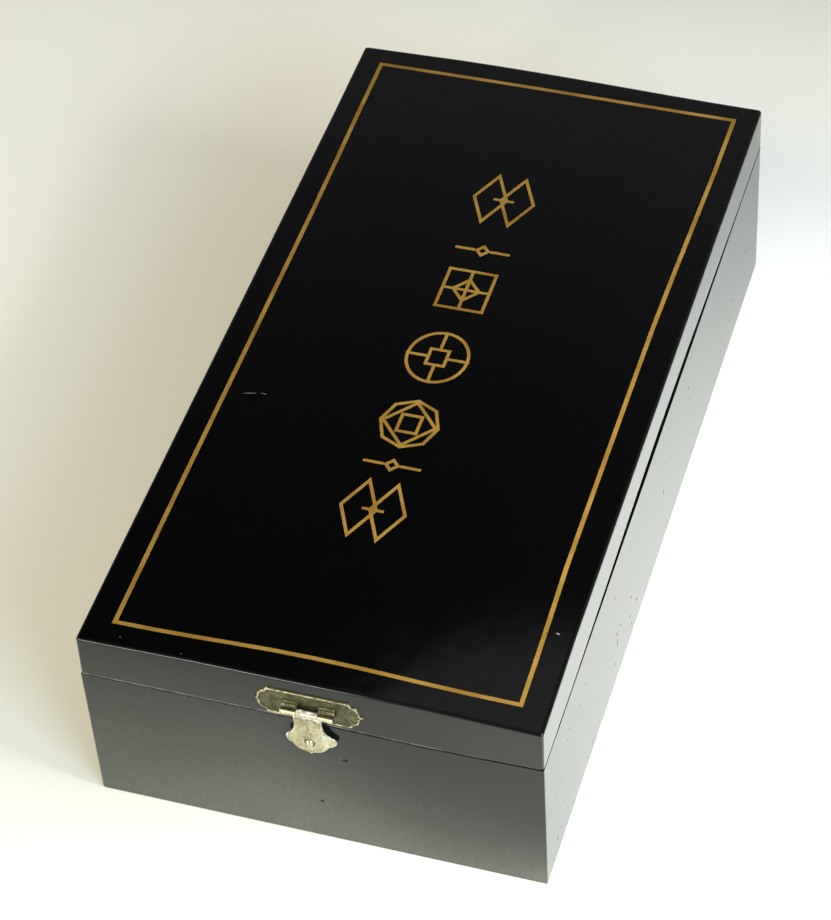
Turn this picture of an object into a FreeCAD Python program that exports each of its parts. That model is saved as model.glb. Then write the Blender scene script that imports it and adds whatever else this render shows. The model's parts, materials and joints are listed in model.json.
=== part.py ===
import FreeCAD, Part
import os
import re
import Sketcher

# A lacquered presentation case for an ink stick: a wooden base with mitred walls, a flat hinged lid,
# a stamped brass catch on the front and two small brass hinges on the back. Inside, the ink stick lies
# in a padded satin bed. All lengths are in millimetres. The origin is the centre of the underside,
# +X to the right, +Y to the back, where the hinges are, and +Z up.

SIZES = (
    # the wooden case
    ("case_width", 130.0),
    ("case_length", 255.6),
    ("base_height", 50.2),
    ("lid_height", 15.5),
    ("seat_gap", 0.2),
    ("wall_thick", 8.0),
    ("panel_thick", 6.0),
    ("board_thick", 5.0),
    ("rabbet_width", 4.0),
    ("rabbet_gap", 0.1),
    ("corner_round", 1.5),
    ("top_round", 1.6),
    ("foot_round", 1.3),
    ("rim_break", 0.3),
    # the gold border on the lid
    ("line_inset", 7.75),
    ("line_width", 1.4),
    ("line_thick", 0.1),
    # the liner boards, the bed and the pad
    ("liner_thick", 2.0),
    ("liner_gap", 0.2),
    ("liner_rise", 3.5),
    ("liner_round", 0.8),
    ("bed_board_thick", 3.0),
    ("bed_drop", 6.5),
    ("bed_gap", 0.4),
    ("bed_round", 4.0),
    ("recess_depth", 12.0),
    ("recess_gap", 1.2),
    ("notch_width", 30.0),
    ("notch_reach", 13.0),
    ("soft_gap", 0.3),
    ("pad_board_thick", 1.5),
    ("pad_board_gap", 0.4),
    ("pad_thick", 5.0),
    ("pad_gap", 1.0),
    ("pad_round", 2.2),
    # the ink stick
    ("stick_length", 176.0),
    ("stick_width", 44.0),
    ("stick_thick", 17.5),
    ("stick_arch", 3.0),
    ("stick_break", 0.8),
    ("frame_width", 3.2),
    ("frame_rise", 0.7),
    # the catch on the front
    ("catch_shift", 0.7),
    ("plate_width", 30.7),
    ("plate_height", 10.2),
    ("plate_thick", 0.6),
    ("plate_lift", 1.15),
    ("prong_width", 1.6),
    ("prong_thick", 0.6),
    ("prong_length", 4.0),
    ("prong_space", 20.0),
    ("slot_gap", 0.1),
    ("barrel_radius", 1.05),
    ("barrel_width", 14.8),
    ("barrel_lift", 4.95),
    ("barrel_gap", 0.1),
    ("knuckle_width", 6.1),
    ("knuckle_gap", 0.15),
    ("pin_radius", 0.5),
    ("pin_gap", 0.05),
    ("flap_thick", 0.6),
    ("flap_offset", 0.3),
    ("flap_length", 16.4),
    ("flap_width", 14.2),
    ("neck_width", 7.9),
    ("eye_drop", 11.25),
    ("eye_radius", 1.6),
    ("ball_radius", 1.2),
    ("ball_reach", 2.25),
    ("stem_radius", 0.6),
    ("stem_length", 5.5),
    ("collar_radius", 1.5),
    ("collar_thick", 0.3),
    # the hinges on the back
    ("hinge_inset", 27.0),
    ("leaf_width", 18.0),
    ("leaf_reach", 9.6),
    ("leaf_thick", 0.8),
    ("leaf_round", 1.4),
    ("hinge_radius", 1.6),
    ("hinge_knuckle", 6.4),
    ("hinge_gap", 0.15),
    ("hinge_pin_radius", 0.75),
    ("nail_space", 11.0),
    ("nail_drop", 5.9),
    ("nail_radius", 0.5),
    ("nail_length", 5.0),
    ("nail_head_radius", 1.1),
    ("nail_head_thick", 0.2),
    ("nail_gap", 0.05),
)

# Formulas that several pieces share.
LID_FOOT = "(base_height + seat_gap)"
SEAT = "(base_height + seat_gap / 2)"
LID_TOP = "(base_height + seat_gap + lid_height)"
RAIL_HEIGHT = "(lid_height - panel_thick)"
HALF_X = "(case_width / 2)"
HALF_Y = "(case_length / 2)"
LINED_X = "(case_width / 2 - wall_thick - liner_gap - liner_thick)"
LINED_Y = "(case_length / 2 - wall_thick - liner_gap - liner_thick)"
BED_FOOT = "(board_thick + bed_board_thick)"
BED_TOP = "(base_height - bed_drop)"
EYE_HEIGHT = "(base_height + seat_gap / 2 + barrel_lift - eye_drop)"
AXIS_STAND = "(plate_thick + barrel_gap + barrel_radius)"
PLATE_FRONT = "(barrel_radius + barrel_gap)"
HINGE_X = "(case_width / 2 - hinge_inset)"
NAIL_RISE = "(base_height + seat_gap / 2 + nail_drop)"
NAIL_FALL = "(base_height + seat_gap / 2 - nail_drop)"

# How far a cutting sketch reaches past the piece that it cuts.
PAST = "1"

# A sketch numbers the points of an edge like this.
START = 1
END = 2
CENTRE = 3

TINY = 1e-4
VIA = "via"

doc = FreeCAD.newDocument("ink_stick_case")
sheet = doc.addObject("Spreadsheet::Sheet", "Sizes")
for row, (alias, amount) in enumerate(SIZES, start=1):
    sheet.set("A%d" % row, alias)
    sheet.set("B%d" % row, str(amount))
    sheet.setAlias("B%d" % row, alias)
doc.recompute()

SIZE_NAMES = {alias for alias, amount in SIZES}


def formula(text):
    """Turns the plain size names of a formula into references to the sheet."""
    return re.sub("[a-z_]+", lambda word: "Sizes." + word[0] if word[0] in SIZE_NAMES else word[0], text)


def bind(item, target, text):
    item.setExpression(target, formula(text))


# ---------------------------------------------------------------------------------------------
# Drawing and shaping helpers
# ---------------------------------------------------------------------------------------------

def new_body(label):
    body = doc.addObject("PartDesign::Body", label)
    body.Label = label
    return body


def new_sketch(body, name, role, lift="0"):
    """A sketch on one of the body's own origin planes, lifted along the plane's normal."""
    sketch = body.newObject("Sketcher::SketchObject", body.Label + "_" + name)
    plane = [item for item in body.Origin.OriginFeatures if item.Role == role][0]
    sketch.AttachmentSupport = [(plane, "")]
    sketch.MapMode = "FlatFace"
    bind(sketch, "AttachmentOffset.Base.z", lift)
    return sketch


def fix_point(sketch, item, spot, across, up):
    """Ties a point of the sketch to the origin by two formulas."""
    for kind, text in (("DistanceX", across), ("DistanceY", up)):
        rule = sketch.addConstraint(Sketcher.Constraint(kind, -1, 1, item, spot, 1.0))
        bind(sketch, "Constraints[%d]" % rule, text)


def outline(sketch, steps):
    """Closes an outline through the steps. A step with VIA is a point on the way of an arc."""
    marks = []
    for count, step in enumerate(steps):
        mark = sketch.addGeometry(Part.Point(FreeCAD.Vector(count + 1, count + 2, 0)), True)
        fix_point(sketch, mark, START, step[0], step[1])
        marks.append(mark)
    sketch.recompute()
    spots = [sketch.getPoint(mark, START) for mark in marks]
    total = len(steps)
    for first, step in enumerate(steps):
        if step[-1] == VIA:
            continue
        middle = (first + 1) % total
        if steps[middle][-1] == VIA:
            last = (first + 2) % total
            edge = sketch.addGeometry(Part.Arc(spots[first], spots[middle], spots[last]), False)
            sketch.addConstraint(Sketcher.Constraint("PointOnObject", marks[middle], START, edge))
        else:
            last = middle
            edge = sketch.addGeometry(Part.LineSegment(spots[first], spots[last]), False)
        near = sketch.getPoint(edge, START).distanceToPoint(spots[first])
        far = sketch.getPoint(edge, START).distanceToPoint(spots[last])
        ends = (START, END) if near < far else (END, START)
        sketch.addConstraint(Sketcher.Constraint("Coincident", edge, ends[0], marks[first], START))
        sketch.addConstraint(Sketcher.Constraint("Coincident", edge, ends[1], marks[last], START))


def rectangle(sketch, left, low, right, high):
    outline(sketch, ((left, low), (right, low), (right, high), (left, high)))


def circle(sketch, across, up, radius):
    ring = sketch.addGeometry(Part.Circle(FreeCAD.Vector(1, 1, 0), FreeCAD.Vector(0, 0, 1), 1), False)
    fix_point(sketch, ring, CENTRE, across, up)
    rule = sketch.addConstraint(Sketcher.Constraint("Radius", ring, 1.0))
    bind(sketch, "Constraints[%d]" % rule, radius)


def shape_by(kind, sketch, length, side="One side", reverse=False):
    body = sketch.getParentGeoFeatureGroup()
    step = body.newObject("PartDesign::" + kind, sketch.Name + "_" + kind)
    step.Profile = sketch
    step.SideType = side
    step.Reversed = reverse
    bind(step, "Length", length)
    doc.recompute()
    return step


def pad(sketch, length, side="One side", reverse=False):
    return shape_by("Pad", sketch, length, side, reverse)


def pocket(sketch, length, side="One side", reverse=False):
    return shape_by("Pocket", sketch, length, side, reverse)


def revolve(sketch, role):
    """Turns a half profile once round one of the body's own origin axes."""
    body = sketch.getParentGeoFeatureGroup()
    axis = [item for item in body.Origin.OriginFeatures if item.Role == role][0]
    step = body.newObject("PartDesign::Revolution", sketch.Name + "_Turn")
    step.Profile = sketch
    step.ReferenceAxis = (axis, [""])
    step.Angle = 360
    doc.recompute()
    return step


def dress(body, kind, target, size, keep):
    """Rounds or breaks the edges of the body that the test keeps."""
    base = body.Tip
    box = base.Shape.BoundBox
    names = []
    for number, edge in enumerate(base.Shape.Edges, start=1):
        if keep(edge.BoundBox, box):
            names.append("Edge%d" % number)
    step = body.newObject("PartDesign::" + kind, "%s_%s" % (body.Label, size))
    step.Base = (base, names)
    bind(step, target, size)
    doc.recompute()


def fillet(body, radius, keep):
    dress(body, "Fillet", "Radius", radius, keep)


def chamfer(body, size, keep):
    dress(body, "Chamfer", "Size", size, keep)


def at_top(edge, box):
    return edge.ZMin > box.ZMax - TINY


def at_foot(edge, box):
    return edge.ZMax < box.ZMin + TINY


def upright(edge, box):
    return edge.XLength < TINY and edge.YLength < TINY


def place(body, across="0", back="0", up="0", turn=0, axis=(0, 0, 1)):
    body.Placement = FreeCAD.Placement(
        FreeCAD.Vector(0, 0, 0), FreeCAD.Rotation(FreeCAD.Vector(*axis), turn))
    bind(body, "Placement.Base.x", across)
    bind(body, "Placement.Base.y", back)
    bind(body, "Placement.Base.z", up)


# ---------------------------------------------------------------------------------------------
# The wooden case. A wall is drawn at the front of the case and then turned to its own side.
# ---------------------------------------------------------------------------------------------

# Each side, a quarter turn from the one before: half its wall's length, and its distance from the middle.
SIDES = {
    "front": (HALF_X, HALF_Y),
    "right": (HALF_Y, HALF_X),
    "back": (HALF_X, HALF_Y),
    "left": (HALF_Y, HALF_X),
}


def turn_to(body, side):
    """Turns a piece that is drawn at the front of the case to its own side."""
    place(body, turn=list(SIDES).index(side) * 90)


def corner_steps(half_span, half_depth):
    """Plan of a wall with mitred ends and half of each rounded outer corner."""
    inner_x = "(%s - wall_thick)" % half_span
    inner_y = "(wall_thick - %s)" % half_depth
    centre_x = "(%s - corner_round)" % half_span
    centre_y = "(corner_round - %s)" % half_depth
    mitre_x = "(%s + corner_round * sqrt(0.5))" % centre_x
    mitre_y = "(%s - corner_round * sqrt(0.5))" % centre_y
    bend_x = "(%s + corner_round * sin(22.5 deg))" % centre_x
    bend_y = "(%s - corner_round * cos(22.5 deg))" % centre_y
    face_y = "- " + half_depth
    return (
        ("- " + inner_x, inner_y),
        ("- " + mitre_x, mitre_y),
        ("- " + bend_x, bend_y, VIA),
        ("- " + centre_x, face_y),
        (centre_x, face_y),
        (bend_x, bend_y, VIA),
        (mitre_x, mitre_y),
        (inner_x, inner_y),
    )


def mitred_wall(label, side, foot, height):
    body = new_body(label)
    plan = new_sketch(body, "plan", "XY_Plane", foot)
    outline(plan, corner_steps(*SIDES[side]))
    pad(plan, height)
    turn_to(body, side)
    return body


def cut_rabbet(body, side):
    """The step in the wall's inner foot that holds the bottom board."""
    half_span, half_depth = SIDES[side]
    step = new_sketch(body, "rabbet", "YZ_Plane")
    inner_face = "(wall_thick - %s)" % half_depth
    rectangle(step, inner_face + " - rabbet_width", "- " + PAST, inner_face + " + " + PAST,
              "board_thick + rabbet_gap")
    pocket(step, "2 * (%s + %s)" % (half_span, PAST), "Symmetric")


def outer_edge(edge, box):
    """An edge of the outer face or of its rounded ends, not of a mitre or the inner face."""
    return edge.YMax < box.YMin + box.YLength / 4


def drill(body, name, spots, radius, depth):
    """Blind round holes into the outer face of a front or back wall."""
    holes = new_sketch(body, name, "XZ_Plane", HALF_Y)
    for across, up in spots:
        circle(holes, across, up, radius)
    pocket(holes, depth)


def nail_spots(height):
    spots = []
    for hinge in ("- " + HINGE_X, HINGE_X):
        for nail in (" - nail_space / 2", " + nail_space / 2"):
            spots.append((hinge + nail, height))
    return spots


def drill_nail_holes(body, height):
    drill(body, "nail_holes", nail_spots(height), "nail_radius + nail_gap",
          "nail_length - leaf_thick + nail_gap")


def make_base():
    walls = {}
    for side in SIDES:
        wall = mitred_wall("base_%s_wall" % side, side, "0", "base_height")
        cut_rabbet(wall, side)
        fillet(wall, "foot_round", lambda edge, box: at_foot(edge, box) and outer_edge(edge, box))
        chamfer(wall, "rim_break", lambda edge, box: at_top(edge, box) and outer_edge(edge, box))
        walls[side] = wall
    drill(walls["front"], "stud_hole", [("catch_shift", EYE_HEIGHT)], "stem_radius + nail_gap",
          "stem_length + nail_gap")
    drill_nail_holes(walls["back"], NAIL_FALL)
    board = new_body("base_bottom_board")
    plan = new_sketch(board, "plan", "XY_Plane")
    reach_x = "(%s - wall_thick + rabbet_width - rabbet_gap)" % HALF_X
    reach_y = "(%s - wall_thick + rabbet_width - rabbet_gap)" % HALF_Y
    rectangle(plan, "- " + reach_x, "- " + reach_y, reach_x, reach_y)
    pad(plan, "board_thick")
    return list(walls.values()) + [board]


def cut_prong_slots(rail):
    slots = new_sketch(rail, "slots", "XZ_Plane", HALF_Y)
    middle = "(%s + plate_lift + plate_height / 2)" % SEAT
    for side in ("- prong_space / 2", "+ prong_space / 2"):
        rectangle(slots,
                  "catch_shift %s - prong_width / 2 - slot_gap" % side,
                  middle + " - prong_thick / 2 - slot_gap",
                  "catch_shift %s + prong_width / 2 + slot_gap" % side,
                  middle + " + prong_thick / 2 + slot_gap")
    pocket(slots, "prong_length + slot_gap")


def make_lid():
    rails = {}
    for side in SIDES:
        rail = mitred_wall("lid_%s_rail" % side, side, LID_FOOT, RAIL_HEIGHT)
        chamfer(rail, "rim_break", lambda edge, box: at_foot(edge, box) and outer_edge(edge, box))
        rails[side] = rail
    cut_prong_slots(rails["front"])
    drill_nail_holes(rails["back"], NAIL_RISE)
    panel = new_body("lid_top_panel")
    plan = new_sketch(panel, "plan", "XY_Plane", LID_TOP + " - panel_thick")
    rectangle(plan, "- " + HALF_X, "- " + HALF_Y, HALF_X, HALF_Y)
    pad(plan, "panel_thick")
    fillet(panel, "corner_round", upright)
    fillet(panel, "top_round", at_top)
    line = new_body("gold_border_line")
    frame = new_sketch(line, "frame", "XY_Plane", LID_TOP)
    rectangle(frame, "line_inset - " + HALF_X, "line_inset - " + HALF_Y,
              HALF_X + " - line_inset", HALF_Y + " - line_inset")
    rectangle(frame, "line_inset + line_width - " + HALF_X, "line_inset + line_width - " + HALF_Y,
              HALF_X + " - line_inset - line_width", HALF_Y + " - line_inset - line_width")
    pad(frame, "line_thick")
    return list(rails.values()) + [panel, line]


# ---------------------------------------------------------------------------------------------
# The lining, the bed, the pad and the ink stick
# ---------------------------------------------------------------------------------------------

def make_liners():
    """Thin boards that stand inside the walls and rise above the rim to locate the lid."""
    spans = {
        "front": "(%s - wall_thick - liner_gap)" % HALF_X,
        "left": "(%s - wall_thick - 2 * liner_gap - liner_thick)" % HALF_Y,
    }
    spans["back"] = spans["front"]
    spans["right"] = spans["left"]
    pieces = []
    for side, (wall_span, half_depth) in SIDES.items():
        body = new_body("liner_" + side)
        plan = new_sketch(body, "plan", "XY_Plane", "board_thick")
        outer = "(wall_thick + liner_gap - %s)" % half_depth
        rectangle(plan, "- " + spans[side], outer, spans[side], outer + " + liner_thick")
        pad(plan, "base_height + liner_rise - board_thick")
        fillet(body, "liner_round", lambda edge, box: at_top(edge, box) and edge.YLength < TINY)
        turn_to(body, side)
        pieces.append(body)
    return pieces


def block(label, foot, thick, gap):
    """A rectangular piece that lies inside the liner boards with a gap all round."""
    body = new_body(label)
    plan = new_sketch(body, "plan", "XY_Plane", foot)
    rectangle(plan, "%s - %s" % (gap, LINED_X), "%s - %s" % (gap, LINED_Y),
              "%s - %s" % (LINED_X, gap), "%s - %s" % (LINED_Y, gap))
    pad(plan, thick)
    return body


def make_bed():
    board = block("bed_board", "board_thick", "bed_board_thick", "bed_gap")
    bed = block("satin_bed", BED_FOOT, "%s - %s" % (BED_TOP, BED_FOOT), "bed_gap")
    fillet(bed, "bed_round", at_top)
    half_x = "(stick_width / 2 + recess_gap)"
    flank = "(stick_length / 2 - stick_arch + recess_gap)"
    end = "(stick_length / 2 + recess_gap)"
    notch = "(notch_width / 2)"
    reach = "(stick_width / 2 + recess_gap + notch_reach)"
    recess = new_sketch(bed, "recess", "XY_Plane", BED_TOP)
    outline(recess, (
        (half_x, "- " + flank),
        (half_x, "- " + notch),
        (reach, "0", VIA),
        (half_x, notch),
        (half_x, flank),
        ("0", end, VIA),
        ("- " + half_x, flank),
        ("- " + half_x, notch),
        ("- " + reach, "0", VIA),
        ("- " + half_x, "- " + notch),
        ("- " + half_x, "- " + flank),
        ("0", "- " + end, VIA),
    ))
    pocket(recess, "recess_depth")
    return [board, bed]


def stick_plan(sketch, inset):
    half_x = "(stick_width / 2 - %s)" % inset
    flank = "(stick_length / 2 - stick_arch - %s)" % inset
    end = "(stick_length / 2 - %s)" % inset
    outline(sketch, (
        (half_x, "- " + flank),
        (half_x, flank),
        ("0", end, VIA),
        ("- " + half_x, flank),
        ("- " + half_x, "- " + flank),
        ("0", "- " + end, VIA),
    ))


def make_ink_stick():
    """A flat bar with softly arched ends and a raised frame round both broad faces."""
    body = new_body("ink_stick")
    foot = "(%s - recess_depth + soft_gap)" % BED_TOP
    plan = new_sketch(body, "plan", "XY_Plane", foot)
    stick_plan(plan, "0")
    pad(plan, "stick_thick")
    chamfer(body, "stick_break", lambda edge, box: True)
    upper = new_sketch(body, "upper_panel", "XY_Plane", foot + " + stick_thick")
    stick_plan(upper, "frame_width")
    pocket(upper, "frame_rise")
    lower = new_sketch(body, "lower_panel", "XY_Plane", foot)
    stick_plan(lower, "frame_width")
    pocket(lower, "frame_rise", reverse=True)
    return body


def make_lid_lining():
    under = "(%s - panel_thick)" % LID_TOP
    board = block("lid_pad_board", under + " - pad_board_thick", "pad_board_thick", "pad_board_gap")
    cushion = block("lid_pad", under + " - pad_board_thick - pad_thick", "pad_thick", "pad_gap")
    fillet(cushion, "pad_round", at_foot)
    return [board, cushion]


# ---------------------------------------------------------------------------------------------
# The catch. Its pieces are drawn about the catch pin's axis, the front face of the case behind it.
# ---------------------------------------------------------------------------------------------

def place_on_catch_axis(body):
    place(body, "catch_shift", "- %s - %s" % (HALF_Y, AXIS_STAND), SEAT + " + barrel_lift")


def mirrored(steps):
    """Completes a half outline with its mirror image about the upright centre line."""
    other = []
    for step in reversed(steps):
        if step[0] != "0":
            other.append(("- " + step[0],) + tuple(step[1:]))
    return tuple(steps) + tuple(other)


def plate_steps():
    """A bracket-shaped plate: each end has a pointed tip between two lobes and two small scallops."""
    middle = "(plate_lift + plate_height / 2 - barrel_lift)"
    tip = "(plate_width / 2)"
    half = "(plate_height / 2)"
    # distance inwards from the tip as a share of the half height, and height as the same share
    flank = ((0.91, 1.00, None), (0.67, 0.96, VIA), (0.58, 0.74, None), (0.28, 0.59, VIA),
             (0.17, 0.25, None), (0.12, 0.10, VIA))
    lower = []
    upper = []
    for inward, height, kind in flank:
        across = "(%s - %s * %s)" % (tip, half, inward)
        low = (across, "(%s - %s * %s)" % (middle, half, height))
        high = (across, "(%s + %s * %s)" % (middle, half, height))
        lower.append(low + (VIA,) if kind else low)
        upper.insert(0, high + (VIA,) if kind else high)
    return mirrored(lower + [(tip, middle)] + upper)


def make_catch_plate():
    body = new_body("catch_plate")
    face = new_sketch(body, "face", "XZ_Plane", "- " + PLATE_FRONT)
    outline(face, plate_steps())
    pad(face, "plate_thick", reverse=True)
    barrel = new_sketch(body, "barrel", "YZ_Plane")
    circle(barrel, "0", "0", "barrel_radius")
    pad(barrel, "barrel_width", "Symmetric")
    tab = new_sketch(body, "tab", "YZ_Plane")
    outline(tab, (
        (PLATE_FRONT + " + plate_thick / 2", "barrel_radius * 1.2"),
        (PLATE_FRONT + " + plate_thick / 2", "barrel_radius * 2.2"),
        ("barrel_radius * 0.35", "barrel_radius * 1.35", VIA),
        ("- barrel_radius * 0.4", "barrel_radius * 0.85"),
        ("barrel_radius * 0.5", "barrel_radius * 0.5"),
    ))
    pad(tab, "barrel_width", "Symmetric")
    space = new_sketch(body, "space", "YZ_Plane")
    rectangle(space, "- 2 * barrel_radius", "- 2 * barrel_radius", PLATE_FRONT, "3 * barrel_radius")
    pocket(space, "knuckle_width", "Symmetric")
    bore = new_sketch(body, "bore", "YZ_Plane")
    circle(bore, "0", "0", "pin_radius + pin_gap")
    pocket(bore, "barrel_width + " + PAST, "Symmetric")
    prongs = new_sketch(body, "prongs", "XZ_Plane", "- %s" % AXIS_STAND)
    middle = "(plate_lift + plate_height / 2 - barrel_lift)"
    for side in ("- prong_space / 2", "prong_space / 2"):
        rectangle(prongs, side + " - prong_width / 2", middle + " - prong_thick / 2",
                  side + " + prong_width / 2", middle + " + prong_thick / 2")
    pad(prongs, "prong_length", reverse=True)
    place_on_catch_axis(body)
    return body


def make_catch_pin():
    body = new_body("catch_pin")
    end = new_sketch(body, "end", "YZ_Plane")
    circle(end, "0", "0", "pin_radius")
    pad(end, "barrel_width", "Symmetric")
    place_on_catch_axis(body)
    return body


def flap_steps():
    """The hanging flap: a straight neck, two round side lobes and a pointed foot."""
    neck = "(neck_width / 2)"
    wide = "(flap_width / 2)"
    shoulder = "(barrel_radius + 2 * knuckle_gap)"
    return mirrored((
        ("(knuckle_width / 2 - knuckle_gap)", "0"),
        ("(knuckle_width / 2 - knuckle_gap)", "- " + shoulder),
        (neck, "- " + shoulder),
        (neck, "- flap_length * 0.30"),
        ("(%s * 1.13)" % neck, "- flap_length * 0.43", VIA),
        ("(%s * 0.80)" % wide, "- flap_length * 0.535"),
        (wide, "- flap_length * 0.65", VIA),
        ("(%s * 0.72)" % wide, "- flap_length * 0.77"),
        ("(%s * 0.57)" % wide, "- flap_length * 0.865", VIA),
        ("(%s * 0.25)" % wide, "- flap_length * 0.935"),
        ("(%s * 0.10)" % wide, "- flap_length * 0.955", VIA),
        ("0", "- flap_length"),
    ))


def make_catch_flap():
    body = new_body("catch_flap")
    face = new_sketch(body, "face", "XZ_Plane", "flap_offset + flap_thick / 2")
    outline(face, flap_steps())
    pad(face, "flap_thick", reverse=True)
    barrel = new_sketch(body, "barrel", "YZ_Plane")
    circle(barrel, "0", "0", "barrel_radius")
    pad(barrel, "knuckle_width - 2 * knuckle_gap", "Symmetric")
    bore = new_sketch(body, "bore", "YZ_Plane")
    circle(bore, "0", "0", "pin_radius + pin_gap")
    pocket(bore, "barrel_width", "Symmetric")
    eye = new_sketch(body, "eye", "XZ_Plane", "2 * barrel_radius")
    circle(eye, "0", "- eye_drop", "eye_radius")
    pocket(eye, "4 * barrel_radius")
    place_on_catch_axis(body)
    return body


def make_catch_stud():
    """A turned nail with a ball head: stem, collar, neck and ball along the Y axis."""
    body = new_body("catch_stud")
    half = new_sketch(body, "profile", "XY_Plane")
    outline(half, (
        ("0", "stem_length"),
        ("stem_radius", "stem_length"),
        ("stem_radius", "0"),
        ("collar_radius", "0"),
        ("collar_radius", "- collar_thick"),
        ("stem_radius", "- collar_thick"),
        ("stem_radius", "sqrt(ball_radius * ball_radius - stem_radius * stem_radius) - ball_reach"),
        ("ball_radius", "- ball_reach", VIA),
        ("0", "- ball_reach - ball_radius"),
    ))
    revolve(half, "Y_Axis")
    place(body, "catch_shift", "- " + HALF_Y, EYE_HEIGHT)
    return body


# ---------------------------------------------------------------------------------------------
# The hinges. A leaf is drawn below the hinge axis, its inner face towards the case.
# ---------------------------------------------------------------------------------------------

def place_on_hinge_axis(body, side, turn=0):
    place(body, side, "%s + hinge_radius" % HALF_Y, SEAT, turn, (0, 1, 0))


def leaf_steps(middle_knuckle):
    half = "(leaf_width / 2)"
    inner = "(hinge_knuckle / 2 - hinge_gap)" if middle_knuckle else "(hinge_knuckle / 2 + hinge_gap)"
    clear = "(0 - hinge_radius - 2 * hinge_gap)"
    foot = "(0 - leaf_reach)"
    top_in, top_out = ("0", clear) if middle_knuckle else (clear, "0")
    return mirrored((
        (half, foot),
        (half, top_out),
        (inner, top_out),
        (inner, top_in),
    ))


def make_leaf(label, side, middle_knuckle, turn):
    body = new_body(label)
    face = new_sketch(body, "face", "XZ_Plane", "hinge_radius")
    outline(face, leaf_steps(middle_knuckle))
    pad(face, "leaf_thick", reverse=True)
    fillet(body, "leaf_round",
           lambda edge, box: edge.ZMax < box.ZMin + TINY and edge.XLength < TINY)
    barrel = new_sketch(body, "barrel", "YZ_Plane")
    circle(barrel, "0", "0", "hinge_radius")
    if middle_knuckle:
        pad(barrel, "hinge_knuckle - 2 * hinge_gap", "Symmetric")
    else:
        pad(barrel, "leaf_width", "Symmetric")
        space = new_sketch(body, "space", "YZ_Plane")
        circle(space, "0", "0", "hinge_radius + hinge_gap")
        pocket(space, "hinge_knuckle + 2 * hinge_gap", "Symmetric")
    bore = new_sketch(body, "bore", "YZ_Plane")
    circle(bore, "0", "0", "hinge_pin_radius + pin_gap")
    pocket(bore, "leaf_width + " + PAST, "Symmetric")
    holes = new_sketch(body, "holes", "XZ_Plane", "hinge_radius")
    for nail in ("- nail_space / 2", "nail_space / 2"):
        circle(holes, nail, "- nail_drop", "nail_radius + nail_gap")
    pocket(holes, "leaf_thick")
    place_on_hinge_axis(body, side, turn)
    return body


def make_hinge_pin(label, side):
    body = new_body(label)
    end = new_sketch(body, "end", "YZ_Plane")
    circle(end, "0", "0", "hinge_pin_radius")
    pad(end, "leaf_width", "Symmetric")
    place_on_hinge_axis(body, side)
    return body


def lay(kind, name, sizes, spot, turn):
    """A primitive on a leaf's outer face: turned by -90 it points backwards, by 90 into the case."""
    item = doc.addObject(kind, name)
    for target, text in sizes:
        bind(item, target, text)
    place(item, spot[0], "%s + leaf_thick" % HALF_Y, spot[1], turn, (1, 0, 0))
    return item


def make_nails(label, height):
    """The four nails of one row in one group, each a six-sided shank with a flat round head."""
    nails = []
    for number, spot in enumerate(nail_spots(height), start=1):
        name = "%s_%d" % (label, number)
        shank = lay("Part::Prism", name + "_shank",
                    (("Circumradius", "nail_radius"), ("Height", "nail_length")), spot, 90)
        head = lay("Part::Cylinder", name + "_head",
                   (("Radius", "nail_head_radius"), ("Height", "nail_head_thick")), spot, -90)
        nail = doc.addObject("Part::Fuse", name)
        nail.Base = shank
        nail.Tool = head
        nails.append(nail)
    group = doc.addObject("Part::Compound", label)
    group.Label = label
    group.Links = nails
    return group


def make_hinges():
    pieces = []
    for name, side in (("left", "- " + HINGE_X), ("right", HINGE_X)):
        pieces.append(make_leaf("hinge_%s_base_leaf" % name, side, True, 0))
        pieces.append(make_leaf("hinge_%s_lid_leaf" % name, side, False, 180))
        pieces.append(make_hinge_pin("hinge_%s_pin" % name, side))
    pieces.append(make_nails("hinge_nails_base", NAIL_FALL))
    pieces.append(make_nails("hinge_nails_lid", NAIL_RISE))
    return pieces


# ---------------------------------------------------------------------------------------------
# Building, checking and writing
# ---------------------------------------------------------------------------------------------

parts = make_base() + make_lid() + make_liners() + make_bed()
parts += [make_ink_stick()] + make_lid_lining()
parts += [make_catch_plate(), make_catch_pin(), make_catch_flap(), make_catch_stud()]
parts += make_hinges()
doc.recompute()

for item in doc.Objects:
    if "Invalid" in item.State or "Error" in item.State:
        raise RuntimeError("%s did not build" % item.Label)

for item in parts:
    if item.Shape.isNull() or not item.Shape.isValid():
        raise RuntimeError("%s has no valid shape" % item.Label)

os.makedirs("parts", exist_ok=True)
for item in parts:
    item.Shape.exportStep("parts/%s.step" % item.Label)
    print("%-22s %d solid(s) %10.2f mm3" % (item.Label, len(item.Shape.Solids), item.Shape.Volume))
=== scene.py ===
import json
import math
from functools import reduce

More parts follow.
